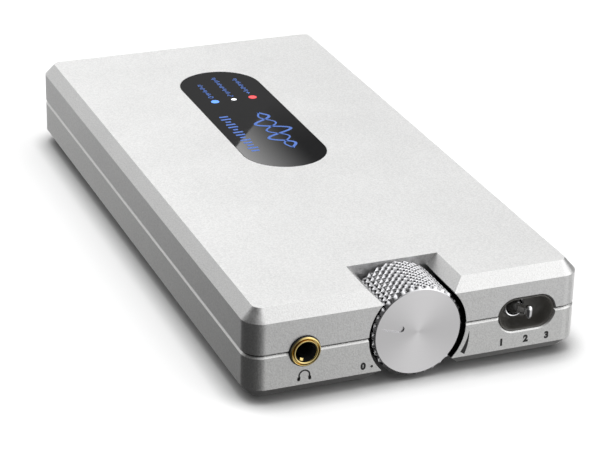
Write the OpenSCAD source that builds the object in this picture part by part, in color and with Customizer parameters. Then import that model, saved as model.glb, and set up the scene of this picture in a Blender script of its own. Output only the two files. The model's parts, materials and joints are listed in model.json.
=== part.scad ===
// Portable headphone DAC amplifier: a clamshell aluminium case with a sunken volume knob,
// a headphone socket and an input selector at the front, and a black display window on top.
// Millimetres. X runs along the front, Y from front to back, Z up.
// The origin is under the middle of the case, on the surface that its feet stand on.

/* [Case] */
// Width of the case across its side walls
case_w = 66.4; // [66:0.1:70]
// Depth of the case from front wall to back wall
case_d = 135.2; // [135:0.2:145]
// Height of the case without its feet
case_h = 17.75; // [17.6:0.05:18.2]
// Thickness of the case walls
wall = 1.6; // [1.5:0.1:1.7]
// Radius of the upright corners
corner_r = 3.6; // [3.2:0.1:4.2]
// How far the edge chamfers reach in from the walls
chamfer_in = 2.1; // [1.6:0.1:2.2]
// Height of the chamfer round the top face
chamfer_top = 2.35; // [1.6:0.05:2.6]
// Height of the chamfer round the bottom face
chamfer_bottom = 2.1; // [1.6:0.05:2.4]
// Chamfer on each shell's edge where the two shells meet
seam_chamfer = 0.4; // [0.2:0.01:0.45]
// Height that the rubber feet stand below the case
foot_h = 1.0; // [0.9:0.1:1.5]

/* [Volume knob] */
// Radius of the knurled rim
knob_r = 9.05; // [8.9:0.05:9.1]
// Radius of the flat spun face
knob_face_r = 8.55; // [8.2:0.05:8.6]
// Length of the knob from face to rear rim
knob_len = 11.8; // [11:0.1:12]
// Radius of the round well that the knob sits in
well_r = 9.73; // [9.6:0.01:9.8]
// Depth of the well behind the front wall's face
well_depth = 12.7; // [12.5:0.1:13]
// Width of the thumb notch where the well opens through the top and the bottom
notch_w = 18.5; // [18:0.1:19]
// Depth of the notch's sloping sides
notch_bevel = 2.4; // [2.2:0.1:2.6]
// Angle of the pointer groove above the left-hand side of the face
pointer_angle = 17; // [0:1:40]

/* [Sockets and selector] */
// Distance of the headphone socket and the selector from the middle
port_x = 22.2; // [22:0.1:22.4]
// Radius of a 3.5 mm socket's bore
jack_bore_r = 1.8; // [1.76:0.01:1.84]
// Radius of the gilt ring round a socket
ring_r = 3.0; // [2.8:0.05:3.1]
// Height that the gilt ring stands proud of the wall
ring_proud = 0.8; // [0.5:0.1:1]
// Half the length of the selector's opening
opening_half = 5.76; // [5.5:0.02:6]
// Radius of the round ends of the selector's opening
opening_r = 3.38; // [3.3:0.02:3.5]
// Distance of the selector's bushing from the middle of the case
selector_x = 21.3; // [21.1:0.1:21.8]
// Angle that the selector lever leans to the right at rest
selector_lean = 24; // [14:1:25]

/* [Window] */
// Width of the black window
window_w = 18; // [17:0.2:18.6]
// Length of the black window
window_l = 56.7; // [54:0.1:58]
// Distance of the window's middle behind the middle of the case
window_y = 20.05; // [19:0.05:21]
// Thickness of the window lens
lens_t = 0.8; // [0.7:0.05:0.9]
// Distance between the status lights
led_pitch = 4.35; // [4:0.05:4.6]
// Distance of the row of status lights behind the middle of the case
led_y = 30.8; // [30.5:0.1:31]

/* [Inside] */
// Thickness of the main circuit board
board_t = 1.2; // [1:0.1:1.4]
// Width of the battery
battery_w = 50; // [46:1:52]
// Length of the battery
battery_l = 57; // [50:1:57]
// Thickness of the battery
battery_t = 6.2; // [5.5:0.1:6.3]

/* [Hidden] */
$fn = 64;

eps = 0.01;
bottom_z = foot_h;
top_z = bottom_z + case_h;
seam_z = bottom_z + case_h / 2;
floor_z = bottom_z + wall;
ceiling_z = top_z - wall;
front_y = -case_d / 2;
rear_y = case_d / 2;
inner_y = case_d / 2 - wall;

well_back_y = front_y + well_depth;
well_wall = 1.3;
land_half = notch_w / 2 + 1.3;
land_h = 1.2;

lip_t = 0.65;
lip_h = 0.8;
lip_gap = 0.05;

screw_xy = [28.9, 61.5];
boss_r = 2.3;
screw_head_r = 1.7;
screw_head_h = 1.2;
counterbore = 1.5;
foot_xy = [24, 50];
foot_r = 4;
foot_sink = 0.6;

axis_over_board = 2.475;
board_top = seam_z - axis_over_board;
board_z = board_top - board_t;
standoff_xy = [[-28, -40], [28, -40], [-28, 38], [28, 38]];
standoff_r = 2.3;
board_half_w = case_w / 2 - 2.7;

battery_front = -39.5;
battery_rear = battery_front + battery_l;
pad_t = 0.5;
battery_top = ceiling_z - pad_t;
guard_t = 3;
lead_r = 0.7;
lead_x = -20;
lead_gap = 2.4;
lead_bend = 1.6;
plug_y = battery_rear + guard_t + 1.9;
plug_h = 4;

shaft_r = 3;
shaft_gap = 0.04;
bushing_r = 3.5;
pot_front = well_back_y + 2;
pot_half = 5.5;
pot_len = 7;
knob_rear = front_y + knob_len;
knob_bore_end = front_y + 2;
set_screw_y = front_y + 7;

jack_front = front_y + 2.6;
jack_len = 12;
jack_w = 6.4;
jack_h = 5.2;

usb_x = [-3, 9];
usb_z = board_top + 1.3;
usb_half_w = 3.75;
usb_half_h = 1.3;
gain_x = 21;
gain_z = board_top + 1.9;
gain_travel = 2;

pivot_y = front_y + 4;
collar_front = front_y + 3.3;
switch_front = front_y + 4.7;
collar_r = 2.1;
collar_bore_r = 1.7;
ball_r = 1.55;
pin_r = 0.35;
pin_gap = 0.05;
lever_reach = 4.5;
lever_tip_r = 0.75;
lever_tip_h = 2.8;
opening_chamfer = 0.26;

lens_z = top_z - lens_t;
glue_t = 0.1;
lens_gap = 0.05;
radio_y = 37;

// ---------- shared shapes ----------

// Rounded slab between two heights, with the outline drawn in by in0 at z0 and by in1 at z1
module slab(z0, z1, in0, in1) {
    h = z1 - z0;
    cx = case_w / 2 - corner_r;
    cy = case_d / 2 - corner_r;
    for (sx = [-1, 1], sy = [-1, 1])
        translate([sx * cx, sy * cy, z0])
            cylinder(h = h, r1 = corner_r - in0, r2 = corner_r - in1);
    translate([0, 0, z0])
        extrude_y(-cy, cy)
            taper_profile(case_w / 2 - in0, case_w / 2 - in1, h);
    translate([-cx, 0, z0])
        rotate([90, 0, 90])
            linear_extrude(2 * cx)
                taper_profile(case_d / 2 - in0, case_d / 2 - in1, h);
}

// Symmetrical outline, half0 wide each way at its base and half1 at height h
module taper_profile(half0, half1, h) {
    polygon([[-half0, 0], [half0, 0], [half1, h], [-half1, h]]);
}

// Extrudes an XZ outline from y0 to y1
module extrude_y(y0, y1) {
    translate([0, y1, 0])
        rotate([90, 0, 0])
            linear_extrude(y1 - y0)
                children();
}

// Round bar along Y, of radius ra at y0 and rb at y1
module bar_y(x, z, y0, y1, ra, rb) {
    translate([x, y1, z])
        rotate([90, 0, 0])
            cylinder(h = y1 - y0, r1 = rb, r2 = ra);
}

// Box given by its limits
module box(x, y, z) {
    translate([x[0], y[0], z[0]])
        cube([x[1] - x[0], y[1] - y[0], z[1] - z[0]]);
}

// Box given by its middle in X and Y, its size, and the height of its base
module block(x, y, z, size) {
    translate([x - size[0] / 2, y - size[1] / 2, z])
        cube(size);
}

// Slot outline with round ends, reaching half each way in X
module stadium(half, r) {
    square([2 * (half - r), 2 * r], center = true);
    for (s = [-1, 1])
        translate([s * (half - r), 0])
            circle(r);
}

// Solid slot shape along Y
module stadium_bar(x, half, r, y0, y1) {
    translate([x, 0, seam_z])
        extrude_y(y0, y1)
            stadium(half, r);
}

// Slot shape along Y that narrows from half0 and r0 at y0 to half1 and r1 at y1
module stadium_funnel(x, half0, r0, half1, r1, y0, y1) {
    run = half0 - r0;
    depth = y1 - y0;
    for (s = [-1, 1])
        bar_y(x + s * run, seam_z, y0, y1, r0, half1 - run);
    translate([x - run, y0, seam_z])
        rotate([90, 0, 90])
            linear_extrude(2 * run)
                polygon([[0, -r0], [0, r0], [depth, r1], [depth, -r1]]);
}

// Rectangle with round corners, centred
module round_rect(w, h, r) {
    square([w - 2 * r, h], center = true);
    square([w, h - 2 * r], center = true);
    for (sx = [-1, 1], sy = [-1, 1])
        translate([sx * (w / 2 - r), sy * (h / 2 - r)])
            circle(r);
}

// Window outline, drawn in by inset, between two heights
module window_slab(inset, z0, z1) {
    translate([0, window_y, z0])
        rotate([0, 0, 90])
            linear_extrude(z1 - z0)
                stadium(window_l / 2 - inset, window_w / 2 - inset);
}

module at_case_screws() {
    for (sx = [-1, 1], sy = [-1, 1])
        translate([sx * screw_xy[0], sy * screw_xy[1], 0])
            children();
}

module at_feet() {
    for (sx = [-1, 1], sy = [-1, 1])
        translate([sx * foot_xy[0], sy * foot_xy[1], 0])
            children();
}

module at_standoffs() {
    for (p = standoff_xy)
        translate([p[0], p[1], 0])
            children();
}

// ---------- case ----------

module cavity() {
    slab(floor_z, floor_z + 1, wall + 1, wall);
    slab(floor_z + 1, ceiling_z - 1, wall, wall);
    slab(ceiling_z - 1, ceiling_z, wall, wall + 1);
}

// Wall round the knob's well, closed at its back
module well_block(grow) {
    r = well_r + well_wall + grow;
    bar_y(0, seam_z, front_y, well_back_y + well_wall, r, r);
}

// The well, its thumb notches and the hole for the control's bushing
module well_cut() {
    bar_y(0, seam_z, front_y - 1, well_back_y, well_r, well_r);
    bar_y(0, seam_z, front_y, well_back_y + 3, bushing_r + 0.1, bushing_r + 0.1);
    for (turn = [0, 180])
        translate([0, 0, seam_z])
            rotate([0, turn, 0])
                extrude_y(front_y - 1, well_back_y)
                    polygon([
                        [-notch_w / 2 - 1, case_h / 2 + 1], [notch_w / 2 + 1, case_h / 2 + 1],
                        [notch_w / 2 - notch_bevel, case_h / 2 - notch_bevel],
                        [-notch_w / 2 + notch_bevel, case_h / 2 - notch_bevel]
                    ]);
}

// Openings that both shells share, because the seam runs through them
module port_cuts() {
    bar_y(-port_x, seam_z, front_y - 1, -inner_y + 1, ring_r + 0.06, ring_r + 0.06);
    bar_y(-port_x, seam_z, inner_y - 1, rear_y + 1, ring_r + 0.06, ring_r + 0.06);
    stadium_bar(port_x, opening_half, opening_r, front_y - 1, -inner_y + 1);
    stadium_funnel(port_x, opening_half + opening_chamfer + eps, opening_r + opening_chamfer + eps,
        opening_half, opening_r, front_y - eps, front_y + opening_chamfer);
    for (x = usb_x)
        translate([x, 0, usb_z])
            extrude_y(inner_y - 1, rear_y + 1)
                round_rect(8.3, 3.3, 0.6);
    translate([gain_x, 0, gain_z])
        extrude_y(inner_y - 1, rear_y + 1)
            round_rect(4.4, 1.9, 0.5);
}

module lower_body() {
    slab(bottom_z, bottom_z + chamfer_bottom, chamfer_in, 0);
    slab(bottom_z + chamfer_bottom, seam_z - seam_chamfer, 0, 0);
    slab(seam_z - seam_chamfer, seam_z, 0, seam_chamfer);
}

module upper_body() {
    slab(seam_z, seam_z + seam_chamfer, seam_chamfer, 0);
    slab(seam_z + seam_chamfer, top_z - chamfer_top, 0, 0);
    slab(top_z - chamfer_top, top_z, 0, chamfer_in);
}

module bottom_shell() {
    color("silver")
        difference() {
            union() {
                difference() {
                    lower_body();
                    cavity();
                }
                intersection() {
                    lower_body();
                    union() {
                        well_block(0);
                        box([-land_half, land_half], [front_y, well_back_y + well_wall],
                            [bottom_z, floor_z + land_h]);
                    }
                }
                locating_lip();
                at_case_screws()
                    translate([0, 0, floor_z - 0.5])
                        cylinder(h = seam_z - floor_z + 0.5, r = boss_r);
                at_standoffs()
                    translate([0, 0, floor_z - 0.5])
                        cylinder(h = board_z - floor_z + 0.5, r = standoff_r);
            }
            well_cut();
            port_cuts();
            at_case_screws() {
                translate([0, 0, bottom_z - 1])
                    cylinder(h = counterbore + 1, r = screw_head_r + 0.2);
                cylinder(h = seam_z + 1, r = 1.1);
            }
            at_standoffs()
                translate([0, 0, floor_z + 0.4])
                    cylinder(h = board_z, r = 0.85);
            at_feet()
                translate([0, 0, bottom_z - 1])
                    cylinder(h = foot_sink + 1, r = foot_r + 0.05);
        }
}

// Lip that stands up inside the top shell's rebate
module locating_lip() {
    difference() {
        slab(seam_z - 0.6, seam_z + lip_h, wall - lip_t, wall - lip_t);
        slab(seam_z - 1, seam_z + lip_h + 1, wall, wall);
        well_block(0.1);
    }
}

module top_shell() {
    color("gainsboro")
        difference() {
            union() {
                difference() {
                    upper_body();
                    cavity();
                    slab(seam_z - 1, seam_z + lip_h + 0.1, wall - lip_t - lip_gap, wall - lip_t - lip_gap);
                }
                intersection() {
                    upper_body();
                    union() {
                        well_block(0);
                        box([-land_half, land_half], [front_y, well_back_y + well_wall],
                            [ceiling_z - land_h, top_z]);
                    }
                }
                at_case_screws()
                    translate([0, 0, seam_z])
                        cylinder(h = ceiling_z - seam_z + 0.5, r = boss_r);
            }
            well_cut();
            port_cuts();
            at_case_screws()
                translate([0, 0, seam_z - 1])
                    cylinder(h = 6, r = 1);
            window_slab(0, lens_z - glue_t, top_z + 1);
            for (i = [-1, 0, 1])
                translate([i * led_pitch, led_y, ceiling_z - 1])
                    cylinder(h = 3, r = 1.1);
            translate([0, radio_y + 5, ceiling_z - 1])
                linear_extrude(3)
                    round_rect(13, 7, 2);
        }
}

module window_lens() {
    color([0.04, 0.04, 0.05])
        window_slab(lens_gap, lens_z, top_z);
}

module lens_adhesive() {
    color("dimgray")
        difference() {
            window_slab(lens_gap, lens_z - glue_t, lens_z);
            window_slab(1.6, lens_z - glue_t - 1, lens_z + 1);
        }
}

module case_screws() {
    color("slategray")
        at_case_screws()
            translate([0, 0, bottom_z + counterbore - screw_head_h])
                difference() {
                    union() {
                        cylinder(h = screw_head_h, r = screw_head_r);
                        cylinder(h = 10, r = 0.95);
                    }
                    translate([0, 0, -1])
                        cylinder(h = 1.8, r = 0.9, $fn = 6);
                }
}

module rubber_feet() {
    color([0.1, 0.1, 0.1])
        at_feet()
            cylinder(h = foot_h + foot_sink, r = foot_r);
}

// ---------- main board and battery ----------

module main_board() {
    color("darkgreen")
        difference() {
            box([-board_half_w, board_half_w], [front_y + 3, rear_y - 2.7], [board_z, board_top]);
            box([-11.5, 11.5], [front_y, pot_front - 0.3], [board_z - 1, board_top + 1]);
            box([-5.9, 5.9], [front_y, pot_front + pot_len + 4.8], [board_z - 1, board_top + 1]);
            box([port_x - 6, port_x + 6], [front_y, switch_front], [board_z - 1, board_top + 1]);
            for (sx = [-1, 1], sy = [-1, 1])
                block(sx * (screw_xy[0] + 1), sy * (screw_xy[1] + 1), board_z - 1,
                      [8.2, 8.2, board_t + 2]);
            at_standoffs()
                cylinder(h = board_top + 1, r = 1.1);
        }
}

module board_screws() {
    color("silver")
        at_standoffs() {
            translate([0, 0, floor_z + 0.8])
                cylinder(h = board_top - floor_z - 0.8, r = 0.8);
            translate([0, 0, board_top])
                difference() {
                    cylinder(h = 1, r = 1.8);
                    translate([0, 0, 0.4])
                        cylinder(h = 1, r = 0.8, $fn = 6);
                }
        }
}

module battery_pack() {
    color("steelblue")
        translate([0, 0, battery_top - battery_t / 2])
            extrude_y(battery_front, battery_rear)
                round_rect(battery_w, battery_t, 2);
}

module battery_pad() {
    color("khaki")
        block(0, (battery_front + battery_rear) / 2, battery_top,
              [battery_w - 10, battery_l - 12, pad_t]);
}

module battery_guard_board() {
    color("goldenrod")
        box([lead_x - 4, lead_x + 16], [battery_rear, battery_rear + guard_t],
            [battery_top - 4.8, battery_top - 1]);
}

module battery_connector() {
    color("ivory")
        difference() {
            block(lead_x, plug_y + lead_bend, board_top, [6.5, 4, plug_h]);
            for (s = [-1, 1])
                block(lead_x + s * 3.25, plug_y + lead_bend, board_top + 2.6, [0.8, 2, 3]);
        }
}

// Insulated wire from the guard board, bent down into the connector's top
module lead(x) {
    exit_z = board_top + plug_h + lead_bend;
    bar_y(x, exit_z, battery_rear + guard_t, plug_y, lead_r, lead_r);
    translate([x, plug_y, exit_z - lead_bend])
        rotate([90, 0, 90])
            rotate_extrude(angle = 90)
                translate([lead_bend, 0])
                    circle(lead_r);
}

module battery_lead_positive() {
    color("red")
        lead(lead_x + lead_gap / 2);
}

module battery_lead_negative() {
    color([0.12, 0.12, 0.12])
        lead(lead_x - lead_gap / 2);
}

// ---------- volume control ----------

module volume_pot() {
    color("darkslategray")
        difference() {
            box([-pot_half, pot_half], [pot_front, pot_front + pot_len],
                [seam_z - pot_half, seam_z + pot_half]);
            bar_y(0, seam_z, pot_front - 1, pot_front + 2, shaft_r + shaft_gap, shaft_r + shaft_gap);
            bar_y(0, seam_z, pot_front + 1.2, pot_front + pot_len + 1, 4.6, 4.6);
        }
}

module pot_bushing() {
    color("silver")
        difference() {
            bar_y(0, seam_z, pot_front - 2.4, pot_front, bushing_r, bushing_r);
            bar_y(0, seam_z, pot_front - 4, pot_front + 1, shaft_r + shaft_gap, shaft_r + shaft_gap);
        }
}

module pot_terminals() {
    color("gold")
        for (sx = [-1, 1], i = [0, 1, 2])
            block(sx * (pot_half + 1.1), pot_front + 1.6 + i * 2, board_top, [2.2, 0.9, 0.3]);
}

module power_switch() {
    color([0.15, 0.15, 0.16])
        box([-5.2, 5.2], [pot_front + pot_len, pot_front + pot_len + 4.4], [seam_z - 5.2, seam_z + 5.2]);
}

module pot_shaft() {
    color("lightgray")
        bar_y(0, seam_z, knob_bore_end + 0.4, pot_front + 2.4, shaft_r, shaft_r);
}

module pot_rotor() {
    color([0.3, 0.28, 0.2])
        bar_y(0, seam_z, pot_front + 2.4, pot_front + 4, 4.2, 4.2);
}

module volume_knob() {
    color("lightsteelblue")
        difference() {
            union() {
                bar_y(0, seam_z, front_y, front_y + 0.6, knob_face_r, knob_r);
                bar_y(0, seam_z, front_y + 0.6, knob_rear - 0.5, knob_r, knob_r);
                bar_y(0, seam_z, knob_rear - 0.5, knob_rear, knob_r, knob_r - 0.4);
            }
            bar_y(0, seam_z, knob_bore_end, knob_rear + 1, shaft_r + 0.05, shaft_r + 0.05);
            bar_y(0, seam_z, knob_rear - 1.2, knob_rear + 1, 4.4, 4.4);
            translate([0, 0, seam_z])
                rotate([0, pointer_angle, 0])
                    translate([-5.15, 0, 0])
                        extrude_y(front_y - 1, front_y + 0.45)
                            stadium(2.25, 0.65);
            translate([0, set_screw_y, seam_z - knob_r - 1])
                cylinder(h = knob_r + 1, r = 1.25);
        }
}

module knob_set_screw() {
    color([0.2, 0.2, 0.2])
        translate([0, set_screw_y, seam_z - 7.5])
            difference() {
                cylinder(h = 7.5 - shaft_r - 0.02, r = 1.2);
                translate([0, 0, -1])
                    cylinder(h = 2.5, r = 0.7, $fn = 6);
            }
}

// ---------- sockets ----------

// Moulded body of a 3.5 mm socket, open towards the front
module jack_body() {
    difference() {
        box(
            [-port_x - jack_w / 2, -port_x + jack_w / 2],
            [jack_front, jack_front + jack_len],
            [board_top, board_top + jack_h]
        );
        bar_y(-port_x, seam_z, jack_front - 1, jack_front + jack_len - 1.2, jack_bore_r, jack_bore_r);
    }
}

// Gilt ring that stands proud of the wall round a socket
module jack_ring() {
    lip = front_y - ring_proud;
    difference() {
        union() {
            bar_y(-port_x, seam_z, lip, lip + 0.4, ring_r - 0.4, ring_r);
            bar_y(-port_x, seam_z, lip + 0.4, jack_front, ring_r, ring_r);
        }
        bar_y(-port_x, seam_z, lip - 1, jack_front + 1, jack_bore_r, jack_bore_r);
        bar_y(-port_x, seam_z, lip - eps, lip + 0.2, jack_bore_r + 0.2, jack_bore_r);
    }
}

// Spring contacts on both sides of a socket's body, down to the board
module jack_contacts() {
    for (s = [-1, 1], i = [0, 1])
        block(-port_x + s * (jack_w / 2 + 0.15), jack_front + 7.6 + i * 3, board_top, [0.3, 1.2, 3.6]);
}

module headphone_jack() {
    color([0.08, 0.08, 0.09])
        jack_body();
}

module headphone_ring() {
    color("goldenrod")
        jack_ring();
}

module headphone_contacts() {
    color("gold")
        jack_contacts();
}

module line_jack() {
    color([0.08, 0.08, 0.09])
        mirror([0, 1, 0])
            jack_body();
}

module line_ring() {
    color("goldenrod")
        mirror([0, 1, 0])
            jack_ring();
}

module line_contacts() {
    color("gold")
        mirror([0, 1, 0])
            jack_contacts();
}

// Outline of a micro USB socket, drawn in by inset
module usb_outline(inset) {
    w = usb_half_w - inset;
    h = usb_half_h - inset;
    polygon([[-w, h], [w, h], [w, -0.25], [w - 1, -h], [1 - w, -h], [-w, -0.25]]);
}

module usb_socket(x) {
    translate([x, 0, usb_z])
        difference() {
            extrude_y(rear_y - 5.4, rear_y - 0.2)
                usb_outline(0);
            extrude_y(rear_y - 5, rear_y + 1)
                usb_outline(0.35);
        }
}

module usb_tongue(x) {
    block(x, rear_y - 3, usb_z - 0.05, [3.8, 4, 0.6]);
}

module usb_data_socket() {
    color("lightgray")
        usb_socket(usb_x[0]);
}

module usb_data_tongue() {
    color([0.1, 0.1, 0.1])
        usb_tongue(usb_x[0]);
}

module usb_charge_socket() {
    color("lightgray")
        usb_socket(usb_x[1]);
}

module usb_charge_tongue() {
    color([0.1, 0.1, 0.1])
        usb_tongue(usb_x[1]);
}

// ---------- input selector ----------

module selector_bezel() {
    half = opening_half - 0.06;
    r = opening_r - 0.06;
    color([0.06, 0.06, 0.06])
        difference() {
            union() {
                stadium_bar(port_x, half, r, front_y + 0.15, front_y + 2.7);
                stadium_bar(port_x, half + 0.9, r + 0.8, front_y + 1.7, front_y + 2.7);
                stadium_bar(port_x, half - 0.8, r - 0.3, front_y + 2.7, front_y + 4.5);
            }
            stadium_funnel(port_x, half - 0.3, r - 0.3, half - 1.5, r - 1.1,
                           front_y + 0.15, front_y + 3.7);
            bar_y(selector_x, seam_z, front_y + 3, front_y + 5, collar_r, collar_r);
        }
}

// Bushing that the lever's ball turns in, with a hole across it for the pin
module selector_collar() {
    color("gainsboro")
        difference() {
            bar_y(selector_x, seam_z, collar_front, switch_front, collar_r, collar_r);
            bar_y(selector_x, seam_z, collar_front - 1, switch_front + 1, collar_bore_r, collar_bore_r);
            translate([selector_x, pivot_y, seam_z - collar_r - 1])
                cylinder(h = 2 * collar_r + 2, r = pin_r + pin_gap);
        }
}

module selector_switch() {
    color([0.12, 0.12, 0.13])
        difference() {
            box([selector_x - 3.4, selector_x + 3.4], [switch_front, switch_front + 9],
                [board_top, board_top + 5.1]);
            box([selector_x - 2.7, selector_x + 2.7], [switch_front - 1, switch_front + 4.3],
                [seam_z - 1.6, seam_z + 1.6]);
        }
}

// Ball with a tail behind it and a flat shaft in front that ends in a capsule
module selector_lever() {
    tip_y = lever_tip_r - lever_reach;
    tip_straight = lever_tip_h - 2 * lever_tip_r;
    pin_half = collar_r - 0.1;
    color("silver")
        translate([selector_x, pivot_y, seam_z]) {
            rotate([0, 0, selector_lean]) {
                sphere(ball_r);
                bar_y(0, 0, 0, 2.3, 0.45, 0.45);
                extrude_y(tip_y, 0)
                    rotate([0, 0, 90])
                        stadium(1.1, 0.5);
                translate([0, tip_y, -tip_straight / 2]) {
                    cylinder(h = tip_straight, r = lever_tip_r);
                    sphere(lever_tip_r);
                    translate([0, 0, tip_straight])
                        sphere(lever_tip_r);
                }
            }
            translate([0, 0, -pin_half])
                cylinder(h = 2 * pin_half, r = pin_r);
        }
}

// ---------- gain switch ----------

module gain_switch() {
    color("lightgray")
        difference() {
            box([gain_x - 4.4, gain_x + 4.4], [inner_y - 4.4, inner_y - 0.1],
                [board_top, board_top + 3.6]);
            box([gain_x - 3.2, gain_x + 3.2], [inner_y - 3.2, inner_y], [gain_z - 0.95, gain_z + 0.95]);
        }
}

module gain_slider() {
    x = gain_x - gain_travel / 2;
    color([0.08, 0.08, 0.08]) {
        block(x, inner_y - 1.8, gain_z - 0.65, [3, 1.8, 1.3]);
        block(x, rear_y - 0.9, gain_z - 0.6, [1.8, 2.8, 1.2]);
    }
}

// ---------- lights ----------

module led(i) {
    block(i * led_pitch, led_y, board_top, [1.6, 0.8, 0.6]);
}

module led_power() {
    color("dodgerblue")
        led(-1);
}

module led_source() {
    color("white")
        led(0);
}

module led_charge() {
    color("red")
        led(1);
}

module led_holder() {
    color([0.1, 0.1, 0.1])
        difference() {
            block(0, led_y, board_top, [13.4, 4, 9.2]);
            for (i = [-1, 0, 1])
                translate([i * led_pitch, led_y, board_top]) {
                    translate([0, 0, -1])
                        cylinder(h = 2, r = 1.15);
                    cylinder(h = 12, r = 0.95);
                }
        }
}

module light_pipes() {
    color("aliceblue")
        for (i = [-1, 0, 1])
            translate([i * led_pitch, led_y, board_top + 1])
                cylinder(h = lens_z - board_top - 1.2, r = 0.9);
}

// ---------- radio ----------

module radio_module() {
    color("seagreen")
        block(0, radio_y + 5, board_top, [24, 10, 0.8]);
}

module radio_shield() {
    color("silver")
        block(-3, radio_y + 5, board_top + 0.8, [16, 8, 1.8]);
}

module radio_antenna() {
    color("white")
        block(9, radio_y + 5, board_top + 0.8, [2, 7, 1.2]);
}

// ---------- chips ----------

module converter_chip() {
    color([0.1, 0.1, 0.1])
        block(-16, -33, board_top, [4.4, 9.7, 1.1]);
}

module usb_chip() {
    color([0.1, 0.1, 0.1])
        block(-3, 54, board_top, [7, 7, 1.4]);
}

module charger_chip() {
    color([0.1, 0.1, 0.1])
        block(9, 54, board_top, [4, 4, 0.9]);
}

module amplifier_chips() {
    color([0.1, 0.1, 0.1])
        for (x = [-20, -11, 13])
            block(x, -46, board_top, [4, 5, 1.5]);
}

module clock_oscillators() {
    color("silver")
        for (x = [2, 9])
            block(x, -33, board_top, [3.2, 5, 1.2]);
}

module power_inductor() {
    color("dimgray")
        translate([17, 53, board_top])
            cylinder(h = 3, r = 3.2);
}

module filter_capacitors() {
    color("darkorange")
        for (x = [-22, -14, -6, 6, 14, 22], y = [-20, -12])
            block(x, y, board_top, [4.3, 6, 2.4]);
}

bottom_shell();
top_shell();
window_lens();
lens_adhesive();
case_screws();
rubber_feet();
main_board();
board_screws();
battery_pack();
battery_pad();
battery_guard_board();
battery_connector();
battery_lead_positive();
battery_lead_negative();
volume_pot();
pot_bushing();
pot_terminals();
power_switch();
pot_shaft();
pot_rotor();
volume_knob();
knob_set_screw();
headphone_jack();
headphone_ring();
headphone_contacts();
line_jack();
line_ring();
line_contacts();
selector_bezel();
selector_collar();
selector_switch();
selector_lever();
usb_data_socket();
usb_data_tongue();
usb_charge_socket();
usb_charge_tongue();
gain_switch();
gain_slider();
led_power();
led_source();
led_charge();
led_holder();
light_pipes();
radio_module();
radio_shield();
radio_antenna();
converter_chip();
usb_chip();
charger_chip();
amplifier_chips();
clock_oscillators();
power_inductor();
filter_capacitors();
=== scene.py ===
import json
import math

import bmesh
import bpy
from mathutils import Matrix, Vector


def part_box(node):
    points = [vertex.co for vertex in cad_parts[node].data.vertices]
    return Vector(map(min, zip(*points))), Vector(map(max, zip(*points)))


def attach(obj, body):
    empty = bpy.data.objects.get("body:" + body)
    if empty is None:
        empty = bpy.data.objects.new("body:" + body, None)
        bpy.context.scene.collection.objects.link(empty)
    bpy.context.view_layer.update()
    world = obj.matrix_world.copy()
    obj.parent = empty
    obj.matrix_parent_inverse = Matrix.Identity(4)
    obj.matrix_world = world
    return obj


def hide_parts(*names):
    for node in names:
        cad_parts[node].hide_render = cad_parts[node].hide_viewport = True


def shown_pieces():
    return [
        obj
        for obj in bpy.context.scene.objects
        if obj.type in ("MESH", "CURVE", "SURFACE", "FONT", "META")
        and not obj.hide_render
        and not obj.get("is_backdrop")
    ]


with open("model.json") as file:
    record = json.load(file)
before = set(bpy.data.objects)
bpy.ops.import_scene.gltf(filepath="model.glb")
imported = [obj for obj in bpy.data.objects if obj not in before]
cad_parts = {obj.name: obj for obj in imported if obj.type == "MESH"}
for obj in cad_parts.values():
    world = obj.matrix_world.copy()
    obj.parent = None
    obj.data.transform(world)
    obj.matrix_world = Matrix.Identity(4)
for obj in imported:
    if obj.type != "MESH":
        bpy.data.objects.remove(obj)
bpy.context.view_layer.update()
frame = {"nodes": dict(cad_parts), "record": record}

# The looks of a portable headphone DAC amplifier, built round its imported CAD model.
# Sizes are in millimetres and become metres when a mesh is made. The lights and the window's card
# are placed in metres.
# X runs along the front, Y from front to back, Z up; the front wall faces -Y.

MM = 0.001


# ---------- places read from the frame ----------

class Span:
    """The box of a CAD node at rest, in millimetres."""

    def __init__(self, node):
        low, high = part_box(node)
        self.low = low / MM
        self.high = high / MM
        self.middle = (self.low + self.high) / 2
        self.size = self.high - self.low


case_top = Span("top_shell")
knob = Span("volume_knob")
front_ring = Span("headphone_ring")
rear_ring = Span("line_ring")
bezel = Span("selector_bezel")
collar = Span("selector_collar")
lens = Span("window_lens")
slider = Span("gain_slider")
tilt = next(j for j in frame["record"]["behaviour"]["joints"] if j["name"] == "selector_tilt")
lever_pivot = Vector(tilt["pos_m"]) / MM
lever_lean = -min(tilt["range_deg"]) / 2

FRONT = case_top.low.y
REAR = case_top.high.y
TOP = case_top.high.z
SEAM = knob.middle.z
WELL_RADIUS = 9.73
WELL_DEPTH = 12.7


# ---------- mesh helpers ----------

WELD = 0.0005
GLYPH_WELD = 0.001


def new_object(name, data):
    made = bpy.data.objects.new(name, data)
    bpy.context.scene.collection.objects.link(made)
    return made


def mesh_from(bm, name, materials=()):
    """Makes a mesh in metres from a bmesh in millimetres, and frees the bmesh."""
    bmesh.ops.scale(bm, vec=(MM, MM, MM), verts=bm.verts)
    mesh = bpy.data.meshes.new(name)
    bm.to_mesh(mesh)
    bm.free()
    for finish in materials:
        mesh.materials.append(finish)
    return mesh


def applied_mesh(thing):
    """New mesh of an object as its modifiers or its typeface make it."""
    view = bpy.context.evaluated_depsgraph_get()
    return bpy.data.meshes.new_from_object(thing.evaluated_get(view))


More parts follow.
